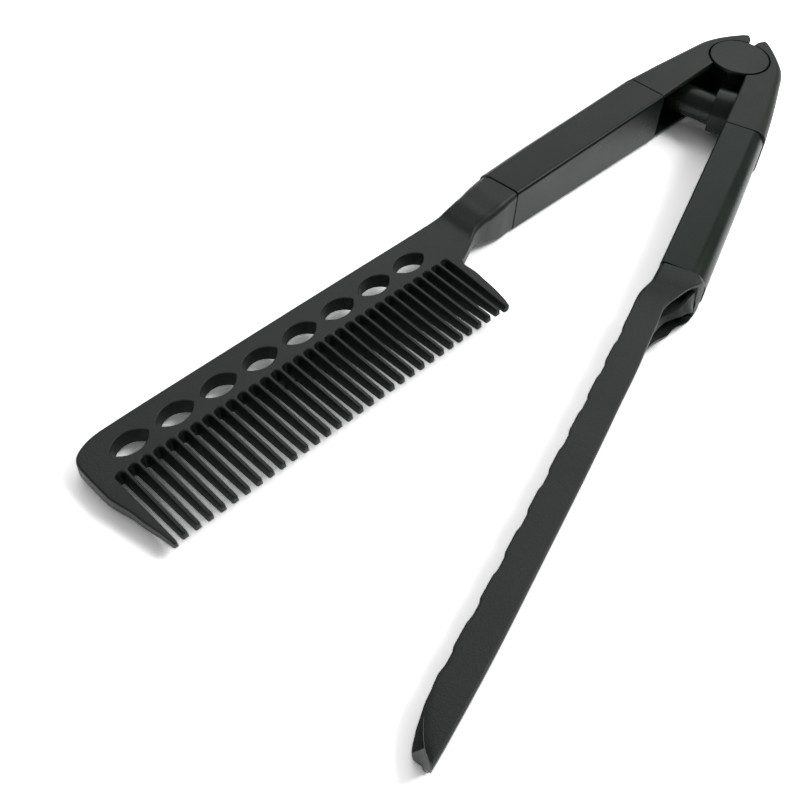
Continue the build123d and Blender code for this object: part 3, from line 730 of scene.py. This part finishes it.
def make_comb():
    """The comb's outline is walked once around, adding its edges, and then filled as one face."""
    shell = Shell()
    reach = np.linspace(NECK, BACK_END, 60)
    corner = np.array(END_CORNER)
    walked = np.concatenate([[0], np.cumsum(np.hypot(*np.diff(corner, axis=0).T))])
    corner = curve(np.linspace(0, walked[-1], 22), np.column_stack([walked, corner]))
    corner_end = END_CORNER[-1][1]
    down = np.column_stack([np.full(8, END_GUARD[0][1]), np.linspace(corner_end, ROOT, 9)[1:]])
    back = np.vstack([np.column_stack([reach, curve(reach, COMB_BACK)]), corner[1:], down])
    inward = right_of(back)
    inward[0], inward[-1] = (0, -1), (-1, 0)
    stretches = [(back, inward, EDGE_ROWS)]

    # Gap roots: half-round scoops that widen towards both faces, from the free end to the neck
    around = arc_points(0, math.pi, 13)
    for gap in GAPS[::-1]:
        stretches.append((around * SCOOP + (gap, ROOT), around, GAP_ROWS))

    # Neck guard's upper part and the hollow curve between it and the shank
    stretch = np.linspace(ROOT, NECK_CENTRE[1], 5)
    side = np.column_stack([curve(stretch, NECK_GUARD_GAP), stretch])
    stretches.append((side, np.tile((-1, 0), (5, 1)), GAP_ROWS))
    around = arc_points(0, math.pi / 2, 12)
    away = around / NECK_AXES
    away /= np.linalg.norm(away, axis=1)[:, None]
    stretches.append((around * NECK_AXES + NECK_CENTRE, away, EDGE_ROWS))
    for line, inward, rows in stretches:
        shell.grid(edge_grid(line, inward, rows))

    # Lens openings: two equal arcs that meet in points, with a small rounded rim
    radius = (LENS_HALF_LENGTH ** 2 + LENS_HALF_HEIGHT ** 2) / (2 * LENS_HALF_HEIGHT)
    half_turn = math.asin(LENS_HALF_LENGTH / radius)
    away = arc_points(math.pi / 2 + half_turn, math.pi / 2 - half_turn, 20)[:-1]
    upper = away * radius - (0, radius - LENS_HALF_HEIGHT)
    lens = np.vstack([upper, -upper])
    away = np.vstack([away, -away])
    away[0], away[len(upper)] = (-1, 0), (1, 0)
    walls = [(lens + (centre, LENS_CENTRE), away, RIM_ROWS) for centre in LENSES]
    for line, inward, rows in walls:
        shell.grid(edge_grid(line, inward, rows), around=True)

    # Flat faces: the upper one ends on the first of the edges' rows, the lower one on their last
    for level, last in ((PLATE_HALF, 0), (-PLATE_HALF, -1)):
        outline = np.vstack([line + inward * rows[last, 0] for line, inward, rows in stretches])
        apart = np.linalg.norm(np.diff(outline, axis=0), axis=1) > 1e-6
        loops = [outline[np.concatenate([[True], apart])]]
        loops += [line + inward * rows[last, 0] for line, inward, rows in walls]
        triangles = tessellate_polygon([[Vector((*p, 0)) for p in loop] for loop in loops])
        flat = np.vstack(loops)
        shell.faces_of(comb_point(flat[:, 0], flat[:, 1], level), triangles)

    # Teeth
    outward = np.array(TOOTH_REACHES)
    share = (ROOT - outward) / (ROOT - TOOTH_TIP)
    half = GAP_PITCH / 2 - SCOOP - TOOTH_TAPER * share
    height = PLATE_HALF - TOOTH_DROP * share
    for centre in GAPS[:-1] + GAP_PITCH / 2:
        add_tooth(shell, outward, centre - half, centre + half, height, GAP_ROWS, GAP_ROWS,
                  TOOTH_ROUND)

    # Guards
    outward = np.concatenate([[ROOT], np.linspace(-1, GUARD_TIP + END_GUARD_ROUND, 14)])
    height = PLATE_HALF - TOOTH_DROP * (ROOT - outward) / (ROOT - GUARD_TIP)
    add_tooth(shell, outward, curve(outward, END_GUARD_GAP), curve(outward, END_GUARD),
              height, GAP_ROWS, EDGE_ROWS, END_GUARD_ROUND)
    outward = np.linspace(NECK_CENTRE[1], GUARD_TIP + NECK_GUARD_ROUND, 12)
    height = PLATE_HALF - TOOTH_DROP * (outward[0] - outward) / (outward[0] - GUARD_TIP)
    add_tooth(shell, outward, curve(outward, NECK_GUARD), curve(outward, NECK_GUARD_GAP),
              height, EDGE_ROWS, GAP_ROWS, NECK_GUARD_ROUND)

    # Shank, its shoulder at the sleeve and its tang inside the sleeve
    stations = [(TANG_START, TANG_INSET), (TANG_END, TANG_INSET)]
    stations += [(COMB_SEAM, 0.15), (COMB_SEAM + 0.04, 0.04), (COMB_SEAM + 0.15, 0)]
    stations += [(u, 0) for u in np.linspace(SHANK_START, NECK, 40)]
    rows = []
    for reach, inset in stations:
        at = max(reach, 94.0)
        inner, outer = curve(at, COMB_INNER)[0] + inset, curve(at, COMB_BACK)[0] - inset
        half = curve(at, COMB_HALF)[0] - inset
        small, large = (
            rounding(max(curve(at, table)[0] - inset, COMB_LEAST_ROUND), 6)
            for table in (COMB_INNER_ROUND, COMB_BACK_ROUND)
        )
        row = [(inner, 0)] + [(inner + i, half - d) for i, d in small[::-1]]
        row = np.array(row + [(outer - i, half - d) for i, d in large] + [(outer, 0)])
        row = lean_down(row, inner, half, curve(at, COMB_FALL)[0])
        rows.append(section_on_arm(reach, row, COMB_SIDE))

    # Its lower half is a little deeper from just past the sleeve to where the plate begins
    reach = np.array(stations)[:, :1]
    share = smooth((reach - COMB_SEAM - DEEP_START) / DEEP_GROWTH)
    deeper = 1 + SHANK_UNDERSIDE * share * (1 - smooth((reach - DEEP_END) / DEEP_FADE))
    lower = mirrored(rows)
    lower[..., 2] = HINGE_LEVEL + (lower[..., 2] - HINGE_LEVEL) * deeper
    shell.grid(rows)
    shell.grid(lower)
    shell.lid(mirrored_ring(rows[0]))
    return shell.build("comb_moulding")


BLADE_PLASTIC = moulded_plastic("blade_satin", (0.008, 0.0145, 0.0105), 0.44, 0.7, specular=0.45)
comb = make_comb()
comb.data.materials.append(BLADE_PLASTIC)
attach(comb, "comb_arm")
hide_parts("comb")

# ----------------------------------------
# Clip: the other arm's moulding, two parallel plates that the comb's teeth pass between. They join
# at the pointed tip and at the shank, where pockets beside a middle rib keep the wall thin.
CLIP_ANGLE = math.radians(7.9)
CLIP_SHIFT = 4.11
POCKET_START, SLOT_START, SLOT_END, CLIP_END = 96.8, 112.0, 229.8, 233.25
SLOT_LEVEL = 2.3
RIB_LEVEL = 0.6
POCKET_WALL = 9.6
CLIP_TOP = [(94, 6.3), (97, 6.1), (101, 5.1), (105, 4.2), (110, 3.75), (234, 3.75)]
CLIP_OUTER = [(94, 19.6), (95.5, 19.1), (96.8, 18.2), (98.8, 16.45), (101.3, 15.05), (104.5, 13.55),
              (107.2, 13.05), (110.3, 13.2), (113.4, 13.35), (120, 13.6), (128, 13.95),
              (140, 14.05), (150, 14.25), (176, 14.4), (190, 14.4), (200, 14.4), (210, 14.3),
              (218, 14.1), (224, 13.9), (229, 13.7), (233.3, 13.45)]
CLIP_LEAST_ROUND = 0.2
CLIP_OUTER_ROUND = [(94, 4.5), (96.5, 1.2), (98, 0.6), (101, 0.45), (108, 0.5), (234, 0.55)]
CLIP_INNER = [(94, 7.55), (97, 7.5), (99.4, 7.5), (101.2, 7.0), (103.8, 6.2), (106.3, 6.0),
              (111.2, 6.2), (115.7, 6.3), (118, 6.4)]
CLIP_LOWER_SHIFT = [(94.5, 0), (97, 1.0), (98.7, 2.2), (100.7, 2.75), (102.6, 2.8), (104.7, 3.0),
                    (106.8, 3.1), (109, 2.4), (111.1, 1.2), (113.8, 0), (116, -0.4), (121, -0.8),
                    (126, -1.0), (234, -1.1)]
CLIP_LOWER_INNER_SHIFT = [(95, 0), (100, 0), (113, -0.4), (215, -0.5), (220, -0.7), (224, -0.85),
                          (227, -1.45), (230, -2.1), (234, -1.9)]
CLIP_LOWER_SHORTER = 2.0
TIP_REACHES = (232.4, 232.7, 233.0, 233.15, CLIP_END)
CLIP_BLEND_START, CLIP_BLEND = 95.0, 4.5
CLIP_TIP_START, CLIP_TIP_BLEND = 230.0, 3.3
NUB_LINE = [(118, 6.76), (131, 6.86), (143, 7.01), (155, 7.11), (172, 7.21), (190, 7.26),
            (200, 7.16), (216, 6.96)]
NUB_DEPTH = 0.36
NUB_START, NUB_END = 116.5, 217
NUB_RISE, NUB_FALL = (0.04, 0.14), (0.38, 0.24)
NUB_PITCH = 11.63
NUB_COUNT = 9
CLIP_TIP = [(NUB_END, 6.6), (219, 6.75), (221.8, 7.15), (224.9, 7.9), (227, 8.85), (229.1, 10.0),
            (230.4, 10.9), (231.7, 12.1), (232.6, 12.8), (233.25, 13.2)]
BEVEL_WIDTH = [(94, 0.9), (100, 0.9), (112, 0.7), (210, 0.75), (217, 1.25), (224, 1.6), (229, 1.7),
               (234, 1.7)]
BEVEL_LIMIT, CLIP_ROUND_LIMIT = 0.6, 0.38
BEVEL_KNEE = (0.12, 0.72)
BEVEL_DROP = [(94, 0.9), (100, 0.8), (112, 0.5), (210, 0.5), (234, 0.6)]
POCKET_ROOF = [(96.8, 4.6), (98, 5.0), (99, 4.75), (101, 4.2), (105, 3.3), (108, 2.8),
               (111, SLOT_LEVEL), (112, SLOT_LEVEL)]
RIM_LEVEL = [(96.8, 3.2), (98, 2.2), (99.5, 1.3), (101, 0.9), (104, RIB_LEVEL), (112, RIB_LEVEL)]
RIM_WIDTH = 0.7
RIB_EDGE = [(96.8, 17.9), (98.7, 16.9), (100.5, 15.8), (102.4, 15.1), (104.4, 13.6), (106.4, 12.4),
            (108.5, 12.1), (112, 12.6)]


def clip_point(reach, outward, level):
    """Point of the clip: at the sleeve it follows the arm, and past the shoulder the blade, which
    leans in by a smaller angle. Between the two, points move smoothly from one to the other. The
    lower plate lies nearer to the comb than the upper one, and its tip is shorter."""
    reach, outward, level = (np.array(v, float) for v in np.broadcast_arrays(reach, outward, level))
    share = smooth((reach - CLIP_BLEND_START) / CLIP_BLEND)[..., None]
    lower = smooth((SLOT_LEVEL - level) / (2 * SLOT_LEVEL))
    at = reach.ravel()
    inner = clip_inner(at).reshape(reach.shape)
    outer = curve(at, CLIP_OUTER).reshape(reach.shape)
    towards_back = np.clip((outward - inner) / (outer - inner), 0, 1)
    shift = towards_back * curve(at, CLIP_LOWER_SHIFT).reshape(reach.shape)
    shift += (1 - towards_back) * curve(at, CLIP_LOWER_INNER_SHIFT).reshape(reach.shape)
    outward = outward + lower * shift
    reach = reach - CLIP_LOWER_SHORTER * lower * smooth((reach - CLIP_TIP_START) / CLIP_TIP_BLEND)
    near = on_arm(reach, outward - CLIP_SHIFT, level, CLIP_SIDE)
    far = on_arm(reach, outward, level, CLIP_SIDE, CLIP_ANGLE)
    return near * (1 - share) + far * share


def valley(reach):
    """Depth of the scallops from 0 to 1: a quick step up, a level stretch and a slow way down,
    repeated along the edge."""
    phase = (np.asarray(reach) - NUB_START) / NUB_PITCH
    inside = (phase >= 0) & (phase < NUB_COUNT - 0.2)
    phase = phase % 1
    rise, fall = (smooth((phase - start) / length) for start, length in (NUB_RISE, NUB_FALL))
    return np.where(inside, rise - fall, 0)


def clip_inner(reach):
    """Inner edge: the shank's curve, the scalloped stretch, then the curve of the tip."""
    shank = curve(reach, CLIP_INNER)
    nubs = curve(reach, NUB_LINE) - NUB_DEPTH * (1 - valley(reach))
    tip = curve(reach, CLIP_TIP)
    return np.where(reach < NUB_START, shank, np.where(reach < NUB_END, nubs, tip))


def clip_row(reach, inset=0.0, pocket=True):
    """Upper half of the shank's or the tip's section: inner wall, bevel, top, outer edge, outer
    wall, and the pocket's roof, wall and rib where there is one."""
    inner = clip_inner(np.array([reach]))[0] + inset
    outer = curve(reach, CLIP_OUTER)[0] - inset
    top = curve(reach, CLIP_TOP)[0] - inset
    width = outer - inner
    bevel = min(curve(reach, BEVEL_WIDTH)[0], BEVEL_LIMIT * width)
    drop = curve(reach, BEVEL_DROP)[0]
    corner = max(curve(reach, CLIP_OUTER_ROUND)[0] - inset, CLIP_LEAST_ROUND)
    corner = rounding(min(corner, CLIP_ROUND_LIMIT * width), 6)
    roof = min(curve(reach, POCKET_ROOF)[0], top - corner[0, 0])
    base = min(SLOT_LEVEL, roof)
    knee = (inner + BEVEL_KNEE[0] * bevel, top - BEVEL_KNEE[1] * drop)
    row = [(inner, 0), (inner, base), (inner, top - drop), knee, (inner + bevel, top)]
    row += [(outer - i, top - d) for i, d in corner] + [(outer, roof)]
    if pocket:
        wall, rib = min(POCKET_WALL, outer), curve(reach, RIB_EDGE)[0]
        rim, start = curve(reach, RIM_LEVEL)[0], max(rib - RIM_WIDTH, wall)
        row += [(wall, roof), (wall, RIB_LEVEL), (start, RIB_LEVEL), (start, rim), (rib, rim), (rib, 0)]
    else:
        row += [(outer, roof)] + [(outer, RIB_LEVEL)] * 4 + [(outer, 0)]
    return np.array(row)


def add_halves(shell, reach, rows, around=False):
    """Add sections of the upper half and the same sections below the middle plane."""
    reach, rows = np.asarray(reach, float)[:, None], np.asarray(rows)
    for sign in (1, -1):
        shell.grid(clip_point(reach, rows[..., 0], sign * rows[..., 1]), around)


def close_halves(shell, reach, row):
    """Close the ring that a half section and its lower copy make."""
    outward, level = row.T
    upper, lower = (clip_point(reach, outward, sign * level) for sign in (1, -1))
    shell.lid(np.concatenate([upper, lower[::-1]]))


def make_clip():
    """Sections along the clip: tang, shoulder and shank, the two plates, and the joined tip."""
    shell = Shell()
    stations = [(TANG_START, TANG_INSET, False), (TANG_END, TANG_INSET, False)]
    stations += [(COMB_SEAM, 0.12, False), (COMB_SEAM + 0.03, 0.03, False)]
    stations += [(u, 0, False) for u in np.linspace(COMB_SEAM + 0.12, POCKET_START, 12)]
    stations += [(u, 0, True) for u in np.linspace(POCKET_START, SLOT_START, 40)]
    rows = [clip_row(*station) for station in stations]
    add_halves(shell, [u for u, _, _ in stations], rows)
    close_halves(shell, stations[0][0], rows[0])

    # The two plates, closed all round, with the scallops
    reach = np.linspace(SLOT_START, SLOT_END, 300)
    plate = np.array([clip_row(u)[1:-5] for u in reach])
    plate[:, -1] = (plate[:, 0] + plate[:, -2]) / 2
    plate[0, -1] = (POCKET_WALL, SLOT_LEVEL)
    add_halves(shell, reach, plate, around=True)

    # Ends of the slot and the joined tip
    start, end = clip_row(SLOT_START), clip_row(SLOT_END, 0, False)
    close_halves(shell, SLOT_START, start[[0, 1, -6, -5, -2, -1]])
    close_halves(shell, SLOT_END, end[[0, 1, -7, -1]])
    reach = np.concatenate([np.linspace(SLOT_END, TIP_REACHES[0], 20), TIP_REACHES[1:]])
    rows = [clip_row(u, 0, False) for u in reach]
    add_halves(shell, reach, rows)
    close_halves(shell, CLIP_END, rows[-1])
    return shell.build("clip_moulding")


clip = make_clip()
clip.data.materials.append(BLADE_PLASTIC)
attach(clip, "clip_arm")
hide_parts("clip")

# ----------------------------------------
# Table: the tool lies on the front of its lower cap, the end of the comb arm's sleeve and the clip's
# tip. The table is parallel to the plane of those three points and touches the lowest point of all.
TABLE_HALF = 1.5
TABLE_DROP = 0.00003
TABLE_WHITE, TABLE_LIFT_WHITE, TABLE_LIFTS = 0.82, 0.84, 2
CAP_FRONT = 3 * TURN_STEPS // 4
SLEEVE_REST, TIP_REST = 5.0, (231.5, 12.5, -3.75)
rest_points = np.array([
    turned_about_hinge([(CAP_RADIUS - CAP_EDGE, -CAP_OUTER_LEVEL)])[0, CAP_FRONT],
    comb_point(SLEEVE_END - SLEEVE_EDGE, SLEEVE_REST, -curve(SLEEVE_END, SLEEVE_HALF)[0]),
    clip_point(*TIP_REST),
])
normal = np.cross(rest_points[1] - rest_points[0], rest_points[2] - rest_points[0])
normal *= np.sign(normal[2]) / np.linalg.norm(normal)


def points_of(piece):
    """All the points of a piece's mesh."""
    flat = np.empty(3 * len(piece.data.vertices), np.float32)
    piece.data.vertices.foreach_get("co", flat)
    return flat.reshape(-1, 3).astype(float)


lowest = min(
    (points_of(piece) @ normal).min()
    for piece in bpy.context.scene.objects
    if piece.type == "MESH" and not piece.hide_render and piece.name not in frame["nodes"]
)


def table_height(x, y):
    """Plane square to the rest points' normal, through the lowest point along it."""
    return (lowest - TABLE_DROP - x * normal[0] - y * normal[1]) / normal[2]


side = np.linspace(-TABLE_HALF, TABLE_HALF, 5)
x, y = np.meshgrid(side, side, indexing="ij")
table_mesh = bpy.data.meshes.new("table")
table_grid = Shell()
table_grid.grid(np.stack([x, y, table_height(x, y)], -1))
faces = [face[::-1] for face in table_grid.faces]
table_mesh.from_pydata(np.concatenate(table_grid.points).tolist(), [], faces)
table = bpy.data.objects.new("table", table_mesh)
bpy.context.scene.collection.objects.link(table)

table_paint, tree, paint = new_material("white_table")
nodes, links = tree.nodes, tree.links
paint.inputs["Base Color"].default_value = (*[TABLE_WHITE] * 3, 1)
paint.inputs["Roughness"].default_value = 0.6
paint.inputs["Specular IOR Level"].default_value = 0.2

# Added white, which the camera and reflections see but which throws no more light on the tool
lifted = paint
for _ in range(TABLE_LIFTS):
    white, lifting = nodes.new("ShaderNodeBsdfDiffuse"), nodes.new("ShaderNodeAddShader")
    white.inputs["Color"].default_value = (*[TABLE_LIFT_WHITE] * 3, 1)
    links.new(white.outputs["BSDF"], lifting.inputs[0])
    links.new(lifted.outputs[0], lifting.inputs[1])
    lifted = lifting


def seen_directly(nodes, links):
    """1 for rays from the camera and for those that reach here by a reflection or through glass."""
    path = nodes.new("ShaderNodeLightPath")
    total = path.outputs["Is Camera Ray"]
    for label in ("Is Glossy Ray", "Is Transmission Ray"):
        either = nodes.new("ShaderNodeMath")
        either.operation = "MAXIMUM"
        links.new(total, either.inputs[0])
        links.new(path.outputs[label], either.inputs[1])
        total = either.outputs[0]
    return total


seen = nodes.new("ShaderNodeMixShader")
links.new(seen_directly(nodes, links), seen.inputs["Fac"])
links.new(paint.outputs["BSDF"], seen.inputs[1])
links.new(lifted.outputs[0], seen.inputs[2])
links.new(seen.outputs["Shader"], nodes["Material Output"].inputs["Surface"])
table.data.materials.append(table_paint)

# ----------------------------------------
# Light: a pale grey room, a large soft panel above and behind, and a smaller, brighter lamp from
# the clip's side, which makes the shadows.
ROOM_STRENGTH = 0.24
TOOL_MIDDLE = (0, -0.1, 0)
world = bpy.data.worlds.new("pale_room")
bpy.context.scene.world = world
world.use_nodes = True
world.node_tree.nodes["Background"].inputs["Color"].default_value = (1.0, 1.0, 1.0, 1)
world.node_tree.nodes["Background"].inputs["Strength"].default_value = ROOM_STRENGTH


def soft_lamp(name, place, size, power):
    """Square area lamp at a place, turned to face the middle of the tool."""
    lamp = bpy.data.lights.new(name, "AREA")
    lamp.shape = "SQUARE"
    lamp.size = size
    lamp.energy = power
    holder = bpy.data.objects.new(name, lamp)
    holder.location = place
    holder.rotation_euler = (Vector(TOOL_MIDDLE) - Vector(place)).to_track_quat("-Z", "Y").to_euler()
    bpy.context.scene.collection.objects.link(holder)


soft_lamp("back_panel", (-0.53, 0.75, 1.12), 1.6, 7.2)
soft_lamp("side_lamp", (0.55, 0.42, 0.85), 0.5, 5.0)

# ----------------------------------------
# Camera: a lens of about 50 mm that looks down across the tool from beyond the arms' free ends and
# is turned a little about its own line of sight.
CAMERA_PLACE = (0.074857, -0.296027, 0.195921)
CAMERA_LENS = 49.477
LOOKING, DOWN, ROLL = math.radians(121.755), math.radians(50.02), math.radians(4.343)
flat, drop = math.cos(DOWN), math.sin(DOWN)
ahead = Vector((math.cos(LOOKING) * flat, math.sin(LOOKING) * flat, -drop))
level_right = Vector((math.sin(LOOKING), -math.cos(LOOKING), 0))
level_up = level_right.cross(ahead)
right = level_right * math.cos(ROLL) + level_up * math.sin(ROLL)
up = level_up * math.cos(ROLL) - level_right * math.sin(ROLL)
camera = bpy.data.objects.new("camera", bpy.data.cameras.new("camera"))
camera.data.lens = CAMERA_LENS
camera.data.clip_start = 0.01
turned = Matrix((right, up, -ahead)).transposed().to_4x4()
camera.matrix_world = Matrix.Translation(CAMERA_PLACE) @ turned
bpy.context.scene.collection.objects.link(camera)
bpy.context.scene.camera = camera
bpy.context.scene.view_settings.view_transform = "Standard"
